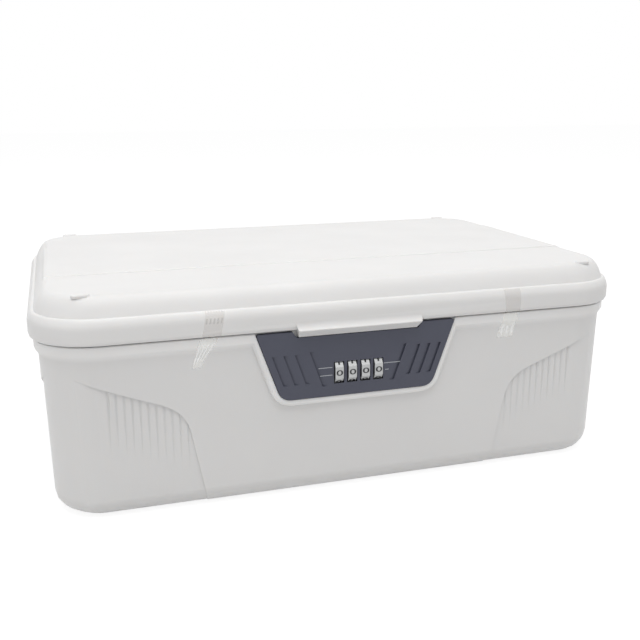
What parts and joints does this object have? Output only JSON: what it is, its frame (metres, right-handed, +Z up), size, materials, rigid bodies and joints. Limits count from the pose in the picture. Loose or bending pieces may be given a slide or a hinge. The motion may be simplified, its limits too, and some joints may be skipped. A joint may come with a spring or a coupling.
{
  "type": "medication lock box",
  "caption": "Low rectangular storage case with a hinged, domed lid and a dark front lock plate holding a row of number wheels.",
  "frame": {"origin": "middle of the bounding box in plan, at the level of the base", "axes": "+Z up, +X to the right of someone facing the lock, -Y out of the lock plate"},
  "size_m": [0.36, 0.2498, 0.1281],
  "materials": {
    "white_plastic": "moulded, satin",
    "slate_plastic": "moulded, fine matt",
    "grey_plastic": "moulded",
    "wheel_metal": "satin plated",
    "steel": "zinc plated"
  },
  "bodies": {
    "case": {"case_tub": "white_plastic", "hinge_pin_left": "steel", "hinge_pin_right": "steel", "lock_plate": "slate_plastic", "lock_housing": "grey_plastic", "lock_cover": "grey_plastic", "lock_spindle": "steel", "detent_spring": "steel", "reset_spring": "steel", "plate_screw_1": "steel", "plate_screw_2": "steel", "plate_screw_3": "steel", "plate_screw_4": "steel", "cover_screw_1": "steel", "cover_screw_2": "steel"},
    "lid": {"lid_shell": "white_plastic", "lid_striker": "steel", "striker_screw_1": "steel", "striker_screw_2": "steel"},
    "reset_carriage": {"reset_slider": "grey_plastic"},
    "wheel_1": {"number_wheel_1": "wheel_metal"},
    "cam_1": {"code_cam_1": "steel"},
    "wheel_2": {"number_wheel_2": "wheel_metal"},
    "cam_2": {"code_cam_2": "steel"},
    "wheel_3": {"number_wheel_3": "wheel_metal"},
    "cam_3": {"code_cam_3": "steel"},
    "wheel_4": {"number_wheel_4": "wheel_metal"},
    "cam_4": {"code_cam_4": "steel"}
  },
  "joints": [
    {"name": "lid_hinge", "type": "hinge", "parent": "case", "child": "lid", "pos_m": [0, 0.1209, 0.0965], "axis": [-1, 0, 0], "range_deg": [0, 105]},
    {"name": "reset_slide", "type": "slide", "parent": "case", "child": "reset_carriage", "axis": [1, 0, 0], "range_m": [0, 0.0014], "stiffness_N_per_m": 250, "deforming": ["reset_spring"]},
    {"name": "wheel_1_turn", "type": "hinge", "parent": "case", "child": "wheel_1", "pos_m": [-0.012, -0.11095, 0.0746], "axis": [1, 0, 0], "continuous": true},
    {"name": "cam_1_turn", "type": "hinge", "parent": "reset_carriage", "child": "cam_1", "pos_m": [-0.012, -0.11095, 0.0746], "axis": [1, 0, 0], "continuous": true},
    {"name": "wheel_2_turn", "type": "hinge", "parent": "case", "child": "wheel_2", "pos_m": [-0.004, -0.11095, 0.0746], "axis": [1, 0, 0], "continuous": true},
    {"name": "cam_2_turn", "type": "hinge", "parent": "reset_carriage", "child": "cam_2", "pos_m": [-0.004, -0.11095, 0.0746], "axis": [1, 0, 0], "continuous": true},
    {"name": "wheel_3_turn", "type": "hinge", "parent": "case", "child": "wheel_3", "pos_m": [0.004, -0.11095, 0.0746], "axis": [1, 0, 0], "continuous": true},
    {"name": "cam_3_turn", "type": "hinge", "parent": "reset_carriage", "child": "cam_3", "pos_m": [0.004, -0.11095, 0.0746], "axis": [1, 0, 0], "continuous": true},
    {"name": "wheel_4_turn", "type": "hinge", "parent": "case", "child": "wheel_4", "pos_m": [0.012, -0.11095, 0.0746], "axis": [1, 0, 0], "continuous": true},
    {"name": "cam_4_turn", "type": "hinge", "parent": "reset_carriage", "child": "cam_4", "pos_m": [0.012, -0.11095, 0.0746], "axis": [1, 0, 0], "continuous": true}
  ],
  "couplings": [
    {"joint": "cam_1_turn", "follows": "wheel_1_turn", "ratio": 1},
    {"joint": "cam_2_turn", "follows": "wheel_2_turn", "ratio": 1},
    {"joint": "cam_3_turn", "follows": "wheel_3_turn", "ratio": 1},
    {"joint": "cam_4_turn", "follows": "wheel_4_turn", "ratio": 1}
  ]
}
